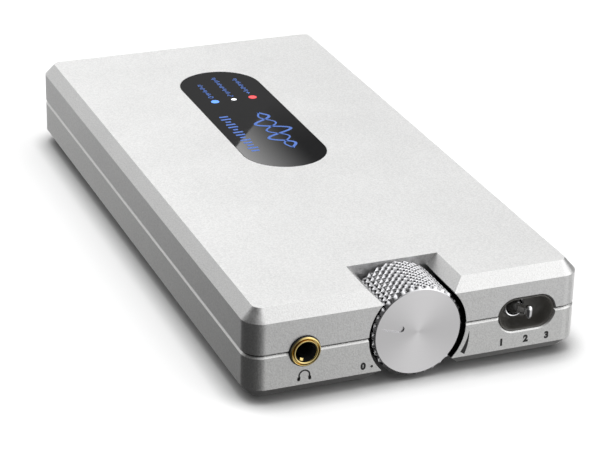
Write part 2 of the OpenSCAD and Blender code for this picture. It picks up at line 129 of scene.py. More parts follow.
def new_piece(name, bm, materials, body, replaces=(), sharp_angle=32):
    """Turns a bmesh in millimetres into a smooth-shaded piece that rides on a body."""
    bmesh.ops.remove_doubles(bm, verts=bm.verts, dist=WELD)
    bmesh.ops.recalc_face_normals(bm, faces=bm.faces)
    for face in bm.faces:
        face.smooth = True
    for edge in bm.edges:
        if len(edge.link_faces) == 2:
            edge.smooth = edge.calc_face_angle() < math.radians(sharp_angle)
    piece = new_object(name, mesh_from(bm, name, [finishes[key] for key in materials]))
    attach(piece, body)
    if replaces:
        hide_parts(*replaces)
    return piece


def loft(bm, rings, join_ends=False, caps=(False, False), material=0):
    """Skins a list of rings of points; rings of one point make a tip."""
    made = [[bm.verts.new(point) for point in ring] for ring in rings]
    pairs = list(zip(made, made[1:]))
    if join_ends:
        pairs.append((made[-1], made[0]))
    for first, second in pairs:
        count = max(len(first), len(second))
        for i in range(count):
            k = (i + 1) % count
            corners = [first[i % len(first)], first[k % len(first)],
                       second[k % len(second)], second[i % len(second)]]
            unique = list(dict.fromkeys(corners))
            bm.faces.new(unique).material_index = material
    for wanted, ring in zip(caps, (made[0], made[-1])):
        if wanted:
            bm.faces.new(ring).material_index = material
    return made


def turn_steps(count):
    """The angles of a number of equal steps round a circle."""
    return [2 * math.pi * i / count for i in range(count)]


def circle_ring(x, z, radius, y, count=64):
    """Ring of points round an axis along Y."""
    return [Vector((x + radius * math.cos(a), y, z + radius * math.sin(a))) for a in turn_steps(count)]


def upright_ring(centre, radius, z, count):
    """Ring of points round an axis along Z through the centre."""
    return [centre + Vector((radius * math.cos(a), radius * math.sin(a), z)) for a in turn_steps(count)]


def stadium_ring(x, z, half, radius, y, upright=False, end_steps=16):
    """Ring round a slot shape in a plane across Y, long in X or, if upright, in Z."""
    points = []
    for side in (1, -1):
        for i in range(end_steps + 1):
            angle = math.pi * (i / end_steps - 0.5)
            along = side * (half - radius + radius * math.cos(angle))
            across = side * radius * math.sin(angle)
            points.append((along, across))
    if upright:
        points = [(-across, along) for along, across in points]
    return [Vector((x + a, y, z + b)) for a, b in points]


def on_front(a, b, out):
    """Point on the front wall: a along X, b up, out proud of the wall."""
    return Vector((a, FRONT - out, b))


def on_rear(a, b, out):
    return Vector((a, REAR + out, b))


def on_window(a, b, out):
    return Vector((a, b, TOP + out))


PRINT_PROUD = 0.02


def prism(bm, outline, place):
    """Thin closed plate with the given outline, let into the surface that place describes."""
    back = [bm.verts.new(place(a, b, -PRINT_PROUD)) for a, b in outline]
    front = [bm.verts.new(place(a, b, PRINT_PROUD)) for a, b in outline]
    bm.faces.new(front)
    bm.faces.new(list(reversed(back)))
    for i in range(len(outline)):
        k = (i + 1) % len(outline)
        bm.faces.new([front[i], back[i], back[k], front[k]])


def stroke(bm, points, width, place):
    """Printed line of one width through the points."""
    left, right = [], []
    for i, point in enumerate(points):
        before = points[max(i - 1, 0)]
        after = points[min(i + 1, len(points) - 1)]
        along = Vector((after[0] - before[0], after[1] - before[1])).normalized()
        side = Vector((-along.y, along.x)) * width / 2
        left.append((point[0] + side.x, point[1] + side.y))
        right.append((point[0] - side.x, point[1] - side.y))
    prism(bm, left + right[::-1], place)


def dot(bm, a, b, radius, place, count=24):
    prism(bm, [(a + radius * math.cos(t), b + radius * math.sin(t)) for t in turn_steps(count)], place)


def arc(a, b, radius, start, end, count=24):
    """Points on an arc, with its angles in degrees."""
    steps = [math.radians(start + (end - start) * i / count) for i in range(count + 1)]
    return [(a + radius * math.cos(t), b + radius * math.sin(t)) for t in steps]


NUMERAL_HEIGHT = 1.5
NUMERAL_WEIGHT = 0.065


def numeral(bm, text, a, b):
    """Number on the front wall in the built-in typeface, centred on a with its foot at b."""
    curve = bpy.data.curves.new("numeral", "FONT")
    curve.body = text
    curve.offset = NUMERAL_WEIGHT
    holder = new_object("numeral", curve)
    mesh = applied_mesh(holder)
    xs = [v.co.x for v in mesh.vertices]
    ys = [v.co.y for v in mesh.vertices]
    middle = (max(xs) + min(xs)) / 2
    foot = min(ys)
    scale = NUMERAL_HEIGHT / (max(ys) - foot)
    glyph = bmesh.new()
    glyph.from_mesh(mesh)
    bmesh.ops.remove_doubles(glyph, verts=glyph.verts, dist=GLYPH_WELD)
    grown = bmesh.ops.extrude_face_region(glyph, geom=glyph.faces[:])
    upper = {v for v in grown["geom"] if isinstance(v, bmesh.types.BMVert)}
    for v in glyph.verts:
        out = PRINT_PROUD if v in upper else -PRINT_PROUD
        v.co = on_front(a + (v.co.x - middle) * scale, b + (v.co.y - foot) * scale, out)
    glyph.to_mesh(mesh)
    glyph.free()
    bm.from_mesh(mesh)
    bpy.data.objects.remove(holder)
    bpy.data.meshes.remove(mesh)


# ---------- material helpers ----------

GRAIN_LOW = 0.3
GRAIN_HIGH = 0.7


def put(tree, value, socket):
    """Links a node's output to a socket, or sets the socket to a plain value."""
    if isinstance(value, bpy.types.NodeSocket):
        tree.links.new(value, socket)
    else:
        socket.default_value = value


def fill(tree, node, **given):
    """Names in lower case set the node itself. The others are its inputs, with spaces as underscores."""
    for name, value in given.items():
        if name.islower():
            setattr(node, name, value)
        else:
            put(tree, value, node.inputs[name.replace("_", " ")])
    return node


def add_node(tree, kind, **given):
    return fill(tree, tree.nodes.new("ShaderNode" + kind), **given)


def new_material(name, color, metallic=0.0, roughness=0.5, **given):
    """Principled material, with its node tree and its shader."""
    finish = bpy.data.materials.new(name)
    finish.use_nodes = True
    tree = finish.node_tree
    shader = fill(tree, tree.nodes["Principled BSDF"], Base_Color=(*color, 1), Metallic=metallic,
                  Roughness=roughness, **given)
    return finish, tree, shader


def math_node(tree, operation, *values, kind="Math", output=0):
    node = add_node(tree, kind, operation=operation)
    for socket, value in zip(node.inputs, values):
        put(tree, value, socket)
    return node.outputs[output]


def map_range(tree, value, low, high, to_low, to_high, shape="LINEAR"):
    node = add_node(tree, "MapRange", interpolation_type=shape)
    for socket, given in zip(node.inputs, (value, low, high, to_low, to_high)):
        put(tree, given, socket)
    return node.outputs[0]


def from_grain(tree, grain, to_low, to_high):
    """Spreads a noise, which mostly keeps between two levels, over a range."""
    return map_range(tree, grain, GRAIN_LOW, GRAIN_HIGH, to_low, to_high)


def object_point(tree, stretch=(1, 1, 1)):
    """Object coordinates in millimetres, stretched along each axis."""
    place = add_node(tree, "TexCoord").outputs["Object"]
    return add_node(tree, "Mapping", Vector=place, Scale=[s / MM for s in stretch]).outputs[0]


def noise(tree, point, per_mm, detail=2.0, roughness=0.5):
    node = add_node(tree, "TexNoise", Vector=point, Scale=per_mm, Detail=detail, Roughness=roughness)
    return node.outputs["Fac"]


def with_drift(tree, fine, broad, share):
    """A fine grain with a share of a broad drift in it."""
    return math_node(tree, "ADD", math_node(tree, "MULTIPLY", fine, 1 - share),
                     math_node(tree, "MULTIPLY", broad, share))


def two_tone(tree, factor, first, second):
    """Goes from a colour, or a colour socket, to a second colour as the factor rises."""
    start = first if isinstance(first, bpy.types.NodeSocket) else (*first, 1)
    node = add_node(tree, "Mix", data_type="RGBA", Factor=factor, A=start, B=(*second, 1))
    return node.outputs["Result"]


def openness(tree, reach, samples):
    """1 in the open, and less the more a place is closed in within the reach."""
    return add_node(tree, "AmbientOcclusion", samples=samples, Distance=reach * MM).outputs["AO"]


def bump(tree, shader, height, depth_mm):
    relief = add_node(tree, "Bump", Strength=1.0, Distance=depth_mm * MM, Height=height)
    fill(tree, shader, Normal=relief.outputs[0])


def shade(color, amount):
    return tuple(c * amount for c in color)


def grained(name, color, metallic, rough, per_mm, contrast, depth_mm, stretch=(1, 1, 1), **given):
    """Finish with a fine grain in its colour, roughness and relief, and a broad drift of tone."""
    finish, tree, shader = new_material(name, color, metallic, rough[0], **given)
    point = object_point(tree, stretch)
    fine = noise(tree, point, per_mm, 3.0)
    tone = with_drift(tree, fine, noise(tree, point, per_mm / 40, 1.0), 0.25)
    colors = two_tone(tree, from_grain(tree, tone, 0, 1), shade(color, 1 - contrast),
                      shade(color, 1 + contrast))
    fill(tree, shader, Base_Color=colors, Roughness=from_grain(tree, tone, *rough))
    bump(tree, shader, fine, depth_mm)
    return finish


# ---------- materials ----------

# Black that the case takes as painted shade, in the knob's well and just over the seam.
PAINTED_SHADE_BLACK = (0.012, 0.012, 0.013)
WELL_SHADE_REACH = (WELL_RADIUS + 0.03, WELL_RADIUS + 0.10)
WELL_SHADE_FRONT = (FRONT + 0.12, FRONT + 0.2)
WELL_SHADE_REAR = (FRONT + WELL_DEPTH - 0.3, FRONT + WELL_DEPTH - 0.2)
SEAM_SHADE_FOOT = (SEAM - 0.04, SEAM - 0.01)
SEAM_SHADE_HEAD = (SEAM + 0.34, SEAM + 0.38)


def well_shade_share(tree, place):
    """1 on the wall of the knob's round well, where painted shade colours it black, and 0 elsewhere."""
    up = math_node(tree, "SUBTRACT", place["Z"], SEAM)
    squares = math_node(tree, "ADD", math_node(tree, "MULTIPLY", place["X"], place["X"]),
                        math_node(tree, "MULTIPLY", up, up))
    inside = map_range(tree, math_node(tree, "SQRT", squares), *WELL_SHADE_REACH, 1, 0)
    behind = map_range(tree, place["Y"], *WELL_SHADE_FRONT, 0, 1)
    ahead = map_range(tree, place["Y"], *WELL_SHADE_REAR, 1, 0)
    return math_node(tree, "MULTIPLY", inside, math_node(tree, "MULTIPLY", behind, ahead))


def seam_shade_share(tree, place):
    """1 on the narrow band just over the seam, where painted shade colours the upper shell's chamfer dark,
    standing in for the shadow in the seam's gap.
    """
    above = map_range(tree, place["Z"], *SEAM_SHADE_FOOT, 0, 1)
    below = map_range(tree, place["Z"], *SEAM_SHADE_HEAD, 1, 0)
    return math_node(tree, "MULTIPLY", above, below)


def bead_blasted(name, color):
    """Anodised aluminium blasted with fine beads: a sparkling grain of about a quarter millimetre, with
    painted shade in black on the knob's well and just over the seam.
    """
    finish, tree, shader = new_material(name, color, 1.0, 0.4)
    point = object_point(tree)
    grain = noise(tree, point, 3.6, 2.0, 0.6)
    tone = with_drift(tree, grain, noise(tree, point, 0.06, 1.0), 0.15)
    metal = two_tone(tree, from_grain(tree, tone, 0, 1), shade(color, 0.86), shade(color, 1.10))
    place = add_node(tree, "SeparateXYZ", Vector=point).outputs
    # Painted shade: the well's wall and the band over the seam are coloured black, standing in for the shadow
    # in those gaps.
    painted_shade = math_node(tree, "MAXIMUM", well_shade_share(tree, place), seam_shade_share(tree, place))
    fill(tree, shader, Base_Color=two_tone(tree, painted_shade, metal, PAINTED_SHADE_BLACK),
         Roughness=from_grain(tree, grain, 0.36, 0.46))
    bump(tree, shader, grain, 0.03)
    return finish


def knurled_metal(name, color, dark):
    """Turned metal with painted shade in its hollows: its colour goes to near black where the surface is
    closed in.
    """
    finish, tree, shader = new_material(name, color, 1.0, 0.2)
    grain = noise(tree, object_point(tree), 4.0)
    # Painted shade: the less open a spot is, the nearer its colour goes to the dark one.
    share = map_range(tree, openness(tree, 0.7, 8), 0.42, 0.82, 0, 1)
    fill(tree, shader, Base_Color=two_tone(tree, share, dark, color),
         Roughness=from_grain(tree, grain, 0.16, 0.26))
    bump(tree, shader, grain, 0.006)
    return finish


def spun_face(name):
    """Turned metal: fine rings about the knob's axis, which spread the light across them."""
    finish, tree, shader = new_material(name, (0.94, 0.93, 0.94), 1.0, 0.3, Anisotropic=0.6,
                                        Anisotropic_Rotation=0.25)
    flat = math_node(tree, "MULTIPLY", object_point(tree), (1, 0, 1), kind="VectorMath")
    radius = math_node(tree, "LENGTH", flat, kind="VectorMath", output="Value")
    rings = add_node(tree, "TexNoise", noise_dimensions="1D", Scale=7.0, Detail=3.0, W=radius).outputs["Fac"]
    tangent = add_node(tree, "Tangent", direction_type="RADIAL", axis="Y").outputs[0]
    fill(tree, shader, Base_Color=two_tone(tree, rings, (0.93, 0.92, 0.93), (0.97, 0.96, 0.97)),
         Roughness=from_grain(tree, rings, 0.28, 0.32), Tangent=tangent)
    bump(tree, shader, rings, 0.0007)
    return finish


def window_gloss(name):
    """Smoked window: polished, with the faintest dust in its gloss."""
    finish, tree, shader = new_material(name, (0.006, 0.006, 0.007), 0.0, 0.02, IOR=1.5)
    dust = noise(tree, object_point(tree), 0.8, 3.0)
    fill(tree, shader, Base_Color=two_tone(tree, dust, (0.004, 0.004, 0.005), (0.010, 0.010, 0.011)),
         Roughness=map_range(tree, dust, 0.35, 0.75, 0.01, 0.03))
    return finish


def glowing(name, color, strength):
    """Lit diode behind a frosted skin, whose grain shows a little in the light."""
    finish, tree, shader = new_material(name, color, 0.0, 0.4, Emission_Color=(*color, 1))
    grain = noise(tree, object_point(tree), 3.0)
    fill(tree, shader, Base_Color=two_tone(tree, grain, shade(color, 0.8), color),
         Emission_Strength=from_grain(tree, grain, strength * 0.85, strength * 1.15))
    return finish


def circuit_board(name):
    """Green solder mask over copper: traces show as lighter lines on a darker ground."""
    finish, tree, shader = new_material(name, (0.01, 0.09, 0.04), 0.0, 0.35, Coat_Weight=0.3)
    point = object_point(tree)
    tracks = add_node(tree, "TexBrick", Vector=point, Scale=0.35, Mortar_Size=0.06,
                      Color1=(0.008, 0.085, 0.035, 1), Color2=(0.012, 0.105, 0.045, 1),
                      Mortar=(0.03, 0.2, 0.08, 1)).outputs
    fill(tree, shader, Base_Color=tracks["Color"],
         Roughness=from_grain(tree, noise(tree, point, 2.0), 0.28, 0.42))
    bump(tree, shader, tracks["Fac"], 0.03)
    return finish


def clear_plastic(name):
    """Moulded acrylic with a faint haze."""
    finish, tree, shader = new_material(name, (0.9, 0.92, 0.95), 0.0, 0.1, Transmission_Weight=0.9,
                                        IOR=1.49)
    haze = noise(tree, object_point(tree), 1.5)
    fill(tree, shader, Roughness=from_grain(tree, haze, 0.05, 0.2))
    return finish


def cut_edge(name, color):
    """The bright line that a cutter leaves along an edge, after the blasting."""
    return grained(name, color, 1.0, (0.22, 0.3), 2.5, 0.04, 0.002)


# Every material, by the name of the record's slot or of the print.
finishes = {
    "case_aluminium": bead_blasted("bead_blasted_aluminium_upper", (0.83, 0.83, 0.825)),
    "case_aluminium_lower": bead_blasted("bead_blasted_aluminium_lower", (0.82, 0.82, 0.81)),
    "cut_edge": cut_edge("cut_aluminium_edge", (0.88, 0.88, 0.875)),
    # The knurled knob's second colour is the painted shade in its hollows.
    "knob_aluminium": knurled_metal("knurled_aluminium", (0.8, 0.8, 0.82), (0.02, 0.02, 0.022)),
    "spun_face": spun_face("spun_aluminium"),
    "window_black": window_gloss("smoked_window"),
    "adhesive": grained("adhesive_film", (0.12, 0.12, 0.12), 0.0, (0.6, 0.8), 2.0, 0.2, 0.01),
    "screw_steel": grained("screw_steel_satin", (0.55, 0.55, 0.56), 1.0, (0.24, 0.36),
                           6.0, 0.08, 0.004, stretch=(1, 1, 0.2)),
    "foot_rubber": grained("foot_rubber_matt", (0.022, 0.022, 0.022), 0.0, (0.65, 0.85),
                           5.0, 0.35, 0.03),
    "board_green": circuit_board("circuit_board_green"),
    "battery_wrap": grained("battery_shrink_wrap", (0.10, 0.19, 0.33), 0.0, (0.22, 0.38),
                            0.5, 0.12, 0.05, Coat_Weight=0.4),
    "battery_pad": grained("foam_pad", (0.42, 0.36, 0.24), 0.0, (0.85, 0.95), 3.0, 0.25, 0.15),
    "kapton": grained("polyimide_tape", (0.62, 0.30, 0.05), 0.0, (0.2, 0.32), 0.8, 0.12, 0.03,
                      Coat_Weight=0.5),
    "connector_ivory": grained("connector_nylon", (0.75, 0.70, 0.57), 0.0, (0.4, 0.5), 3.0, 0.05, 0.01),
    "wire_red": grained("wire_sleeve_red", (0.55, 0.03, 0.02), 0.0, (0.35, 0.45), 2.0, 0.1, 0.01),
    "wire_black": grained("wire_sleeve_black", (0.02, 0.02, 0.02), 0.0, (0.35, 0.45), 2.0, 0.2, 0.01),
    "black_plastic": grained("moulded_black_plastic", (0.018, 0.018, 0.019), 0.0, (0.38, 0.5),
                             4.0, 0.2, 0.008),
    "black_gloss_plastic": grained("gloss_black_plastic", (0.03, 0.029, 0.027), 0.0, (0.3, 0.38),
                                   1.5, 0.2, 0.003, Coat_Weight=0.3, Coat_Roughness=0.12),
    "bowl_satin": grained("bowl_satin_moulding", (0.085, 0.081, 0.073), 0.0, (0.28, 0.38),
                          3.0, 0.12, 0.004, IOR=1.6),
    "plated_steel": grained("tin_plated_steel", (0.62, 0.61, 0.59), 1.0, (0.2, 0.34), 3.0, 0.07, 0.004),
    "gold_plate": grained("gold_plating", (0.84, 0.66, 0.28), 1.0, (0.07, 0.14), 3.0, 0.08, 0.002),
    "chrome": grained("bright_chrome", (0.88, 0.88, 0.89), 1.0, (0.05, 0.10), 2.0, 0.03, 0.001),
    "led_blue": glowing("diode_blue", (0.10, 0.32, 1.0), 0.9),
    "led_white": glowing("diode_white", (0.95, 0.97, 1.0), 1.0),
    "led_red": glowing("diode_red", (1.0, 0.06, 0.07), 0.8),
    "light_pipe_clear": clear_plastic("light_pipe_acrylic"),
    "ceramic_white": grained("antenna_ceramic", (0.70, 0.70, 0.68), 0.0, (0.3, 0.42), 2.5, 0.05, 0.01),
    "chip_black": grained("chip_moulding", (0.025, 0.025, 0.027), 0.0, (0.5, 0.62), 6.0, 0.25, 0.01),
    "capacitor_amber": grained("capacitor_amber_epoxy", (0.60, 0.26, 0.04), 0.0, (0.35, 0.5),
                               2.0, 0.12, 0.01),
    "ink_black": grained("black_ink", (0.012, 0.012, 0.012), 0.0, (0.45, 0.6), 6.0, 0.4, 0.004),
    "ink_blue": grained("blue_ink", (0.085, 0.25, 0.88), 0.0, (0.4, 0.55), 6.0, 0.15, 0.004),
}


# ---------- CAD nodes: better materials, and edges broken as a tool leaves them ----------

USUAL_BREAK = 0.06
EDGE_BREAK = {"top_shell": 0.09, "bottom_shell": 0.09, "window_lens": 0.05, "rubber_feet": 0.35,
              "case_screws": 0.12, "usb_data_socket": 0.12, "usb_charge_socket": 0.12,
              "battery_pack": 0.3, "converter_chip": 0.1, "usb_chip": 0.1, "charger_chip": 0.1,
              "amplifier_chips": 0.1, "power_inductor": 0.2, "radio_shield": 0.15}
CAD_WELD = 0.002
FLAT_WITHIN = 0.6
BREAK_FROM = 24


def break_edges(node, width, edge_material):
    """Rounds a CAD node's edges with modifiers, so its vertices stay as packed."""
    weld = node.modifiers.new("weld", "WELD")
    weld.merge_threshold = CAD_WELD * MM
    flat = node.modifiers.new("flat_faces", "DECIMATE")
    flat.decimate_type = "DISSOLVE"
    flat.angle_limit = math.radians(FLAT_WITHIN)
    rounded = node.modifiers.new("edge_break", "BEVEL")
    rounded.width = width * MM
    rounded.segments = 2
    rounded.limit_method = "ANGLE"
    rounded.angle_limit = math.radians(BREAK_FROM)
    rounded.material = edge_material
    node.modifiers.new("even_normals", "WEIGHTED_NORMAL")


def dress_nodes():
    """Gives each CAD node its finish; the shells' broken edges get a brighter one."""
    for part in frame["record"]["subparts"]:
        name = part["node"]
        node = frame["nodes"].get(name)
        if node is None:
            continue
        node.data.materials.clear()
        node.data.materials.append(finishes[part["material_slot"]])
        edge_material = 0
        if name in ("top_shell", "bottom_shell"):
            node.data.materials.append(finishes["cut_edge"])
            edge_material = 1
        break_edges(node, EDGE_BREAK.get(name, USUAL_BREAK), edge_material)


# ---------- volume knob ----------

KNURL_COUNT = 32
KNURL_PITCH = 1.58
KNURL_PERIODS = 7
KNURL_DEPTH = 0.66
KNURL_STEPS = 6
KNURL_LAND = 0.1
KNURL_START = 0.45
FACE_RADIUS = 8.55
FACE_BREAK = 0.12
FACE_FOOT_OUT = 0.06
FACE_FOOT_BACK = 0.05
FACE_CENTRE = 0.5
POINTER_ANGLE = 17
POINTER_RADIUS = 5.15
POINTER_HALF = 2.25
POINTER_WIDTH = 0.65
POINTER_DEPTH = 0.3
SET_SCREW_BEHIND_FACE = 7.0
SET_SCREW_HOLE = 1.25
SET_SCREW_STEPS = 32
BORE_RADIUS = 3.05
BORE_START = 2.0
RECESS_RADIUS = 4.4
RECESS_DEPTH = 1.2
REAR_STEP = 0.9
REAR_TAPER = 0.1
REAR_FOOT = 0.12
CUT_CLEAR = 1.0
CUT_INTO_BORE = 0.6


def ridge_share(t):
    """How high a knurling ridge stands, from 1 on its crest to 0 in the hollow beside it."""
    away = abs(t - round(t))
    return min(1.0, (0.5 - away) / (0.5 - KNURL_LAND))


def knurl_rings(bm, radius, front):
    """Diamond knurling: ridges cross both ways round small pits, and the mesh runs along them.
    Returns the points of its first and last rows."""
    half_steps = 2 * KNURL_STEPS
    around = half_steps * KNURL_COUNT
    rows = half_steps * KNURL_PERIODS
    verts = {}
    for row in range(rows + 1):
        for step in range(row % 2, around, 2):
            one_way = (step + row) / half_steps
            other_way = (step - row) / half_steps
            depth = KNURL_DEPTH * (1 - max(ridge_share(one_way), ridge_share(other_way)))
            angle = 2 * math.pi * step / around
            r = radius - depth
            y = front + KNURL_PITCH * row / half_steps
            verts[row, step] = bm.verts.new((r * math.cos(angle), y, SEAM + r * math.sin(angle)))

    def at(row, step):
        return verts[row, step % around]

    for row in range(1, rows):
        for step in range((row + 1) % 2, around, 2):
            bm.faces.new([at(row, step - 1), at(row - 1, step), at(row, step + 1), at(row + 1, step)])
    for edge_row, inner_row in ((0, 1), (rows, rows - 1)):
        for step in range((edge_row + 1) % 2, around, 2):
            bm.faces.new([at(edge_row, step - 1), at(edge_row, step + 1), at(inner_row, step)])
    return [[at(row, step).co.copy() for step in range(0, around, 2)] for row in (0, rows)]


def cut_with(piece, name, rings, floor_material=0):
    """Cuts a closed lofted shape out of a piece and applies the cut."""
    bm = bmesh.new()
    loft(bm, rings, caps=(True, True))
    bm.faces.ensure_lookup_table()
    for face in bm.faces[-2:]:
        face.material_index = floor_material
    bmesh.ops.recalc_face_normals(bm, faces=bm.faces)
    cutter = new_object(name, mesh_from(bm, name, piece.data.materials))
    boolean = piece.modifiers.new(name, "BOOLEAN")
    boolean.object = cutter
    boolean.solver = "EXACT"
    result = applied_mesh(piece)
    piece.modifiers.clear()
    piece.data = result
    bpy.data.objects.remove(cutter)


def pointer_cutter():
    """Slot across the face, turned to where the knob stands at rest."""
    turn = Matrix.Rotation(-math.radians(180 - POINTER_ANGLE), 3, "Y")
    centre = Vector((0, 0, SEAM))
    rings = []
    for y in (knob.low.y - CUT_CLEAR, knob.low.y + POINTER_DEPTH):
        ring = stadium_ring(POINTER_RADIUS, 0, POINTER_HALF, POINTER_WIDTH, y, end_steps=12)
        rings.append([centre + turn @ p for p in ring])
    return rings


def set_screw_cutter():
    """Round hole from under the knob up into its bore."""
    foot = Vector((0, knob.low.y + SET_SCREW_BEHIND_FACE, 0))
    return [upright_ring(foot, SET_SCREW_HOLE, z, SET_SCREW_STEPS)
            for z in (SEAM - knob.size.x, SEAM - BORE_RADIUS + CUT_INTO_BORE)]


def make_knob():
    """Knurled knob with a spun face, a pointer slot, a bore for the shaft and a set screw's hole."""
    radius = knob.size.x / 2
    front = knob.low.y
    rear = knob.high.y
    knurl_rear = front + KNURL_START + KNURL_PITCH * KNURL_PERIODS
    bm = bmesh.new()
    front_edge, rear_edge = knurl_rings(bm, radius, front + KNURL_START)

    def ring(r, y):
        return circle_ring(0, SEAM, r, y, len(front_edge))

    loft(bm, [front_edge, ring(FACE_RADIUS + FACE_FOOT_OUT, front + FACE_BREAK + FACE_FOOT_BACK),
              ring(FACE_RADIUS, front + FACE_BREAK), ring(FACE_RADIUS - FACE_BREAK, front)])
    loft(bm, [ring(FACE_RADIUS - FACE_BREAK, front), ring(FACE_CENTRE, front),
              [Vector((0, front, SEAM))]], material=1)
    bore_end = front + BORE_START
    recess = rear - RECESS_DEPTH
    loft(bm, [rear_edge, ring(radius - REAR_STEP, knurl_rear + REAR_FOOT),
              ring(radius - REAR_STEP - REAR_TAPER, rear), ring(RECESS_RADIUS, rear),
              ring(RECESS_RADIUS, recess), ring(BORE_RADIUS, recess), ring(BORE_RADIUS, bore_end),
              [Vector((0, bore_end, SEAM))]])
    piece = new_piece("volume_knob_turned", bm, ["knob_aluminium", "spun_face"], "volume_knob",
                      ["volume_knob"], sharp_angle=26)
    cut_with(piece, "pointer_cut", pointer_cutter(), floor_material=1)
    cut_with(piece, "set_screw_cut", set_screw_cutter())


# ---------- socket rings ----------

RING_PROFILE = [(2.97, 0.8), (2.97, 0.42), (2.91, 0.36), (2.87, 0.30), (2.79, 0.22), (2.70, 0.18),
                (2.64, 0.21), (2.60, 0.5), (2.54, 0.72), (2.42, 0.72), (2.38, 0.5), (2.36, 0.12),
                (2.31, 0.02), (2.22, 0.0), (2.13, 0.02), (2.03, 0.08), (1.97, 0.25), (1.95, 0.7), (1.8, 1.0)]
LINING_RADIUS = 1.96
PAINTED_GAP_SHADE_RADIUS = 2.92
RING_STEPS = 72


def turn_profile(bm, span, profile, facing=-1):
    """Turns a profile of radii and depths behind the face, closed at the back, about an axis along Y."""
    face = span.low.y if facing < 0 else span.high.y
    closed = profile + [(profile[-1][0], span.size.y), (profile[0][0], span.size.y)]
    loft(bm, [circle_ring(span.middle.x, span.middle.z, r, face - facing * back, RING_STEPS)
              for r, back in closed], join_ends=True)


def make_socket_ring(name, node, span, facing):
    """Gilt bushing: a rounded shoulder, a groove, a bright lip and a black lining, with painted shade in
    black round its outer foot.
    """
    bm = bmesh.new()
    turn_profile(bm, span, RING_PROFILE, facing)
    # The outermost faces take black as painted shade of the gap round the ring; the innermost take the bore's
    # black lining.
    for f in bm.faces:
        away = f.calc_center_median() - span.middle
        reach = math.hypot(away.x, away.z)
        if reach > PAINTED_GAP_SHADE_RADIUS or reach < LINING_RADIUS:
            f.material_index = 1
    new_piece(name, bm, ["gold_plate", "black_plastic"], "chassis", [node], sharp_angle=50)


SPRING_ANGLE = 246
SPRING_RADIUS = 1.86
SPRING_RISE = [(0.55, 0.0), (0.75, 0.34), (1.15, 0.12), (4.0, 0.02)]
SPRING_SECTION = [(-0.38, 0), (-0.3, -0.12), (0, -0.02), (0.3, -0.12), (0.38, 0), (0, 0.1)]


def make_contact_spring():
    """Gilt spring strip along the headphone bore, its end bent inwards to meet the plug."""
    angle = math.radians(SPRING_ANGLE)
    out = Vector((math.cos(angle), 0, math.sin(angle)))
    side = Vector((-out.z, 0, out.x))
    centre = Vector((front_ring.middle.x, front_ring.low.y, SEAM))
    rings = []
    for depth, rise in SPRING_RISE:
        foot = centre + Vector((0, depth, 0)) + out * (SPRING_RADIUS - rise)
        rings.append([foot + side * across + out * up for across, up in SPRING_SECTION])
    bm = bmesh.new()
    loft(bm, rings, caps=(True, True))
    new_piece("headphone_spring", bm, ["gold_plate"], "chassis")


# ---------- input selector ----------

BOWL = [(5.70, 3.32, 0.30), (5.66, 3.28, 0.08), (5.56, 3.18, 0.0), (5.42, 3.04, 0.10), (5.25, 2.92, 0.45),
        (5.12, 2.86, 1.0), (4.98, 2.80, 1.6), (4.82, 2.72, 2.1), (4.60, 2.60, 2.5), (4.30, 2.47, 2.8),
        (3.9, 2.35, 3.1), (3.4, 2.25, 3.38)]
BOWL_STEPS = 24
BOWL_OUTSIDE = (4.9, 3.02)
FLANGE = (6.6, 4.12)
FLANGE_FRONT = 1.55
FLANGE_BACK = 2.55
HOLE_BREAK = 0.06
HOLE_START = 3.5
HOLE_EDGE = 3.6


def make_bezel():
    """Satin bowl that the selector lever stands in, with a round hole in its floor. Its rings say
    half their length, their end radius and their depth behind the face."""
    hole = collar.size.x / 2
    deep = bezel.size.y
    hole_rings = [(hole + HOLE_BREAK, hole + HOLE_BREAK, HOLE_START), (hole, hole, HOLE_EDGE),
                  (hole, hole, deep)]
    outside = [(*BOWL_OUTSIDE, deep), (*BOWL_OUTSIDE, FLANGE_BACK), (*FLANGE, FLANGE_BACK),
               (*FLANGE, FLANGE_FRONT), (*BOWL[0][:2], FLANGE_FRONT)]
    rings = []
    for x, stretch in ((bezel.middle.x, BOWL), (collar.middle.x, hole_rings), (bezel.middle.x, outside)):
        for half, radius, depth in stretch:
            rings.append(stadium_ring(x, SEAM, half, radius, bezel.low.y + depth, end_steps=BOWL_STEPS))
    bm = bmesh.new()
    loft(bm, rings, join_ends=True)
    new_piece("selector_bowl", bm, ["bowl_satin"], "chassis",
              ["selector_bezel"], sharp_angle=40)


COLLAR_PROFILE = [(2.1, 0.45), (2.03, 0.42), (1.99, 0.12), (1.96, 0.02), (1.91, 0.0), (1.74, 0.06),
                  (1.71, 0.12), (1.7, 0.7)]


def make_collar():
    """Bright round bushing whose rounded rim stands proud of the bowl's floor."""
    bm = bmesh.new()
    turn_profile(bm, collar, COLLAR_PROFILE)
    new_piece("selector_rim", bm, ["chrome"], "chassis", ["selector_collar"], sharp_angle=30)


LEVER_REACH = 4.5
BALL_RADIUS = 1.55
TIP_RADIUS = 0.75
TIP_HALF = 1.4
SHAFT_RADIUS = 0.5
SHAFT_HALF = 1.1
TIP_ROWS = 14
TIP_SQUARE = 0.3
SHAFT_END = -0.8


def at_lever(rings):
    """Moves rings from the lever's own axes, with the ball's middle at 0, to its place at rest."""
    place = Matrix.Translation(lever_pivot) @ Matrix.Rotation(math.radians(lever_lean), 4, "Z")
    return [[place @ point for point in ring] for ring in rings]


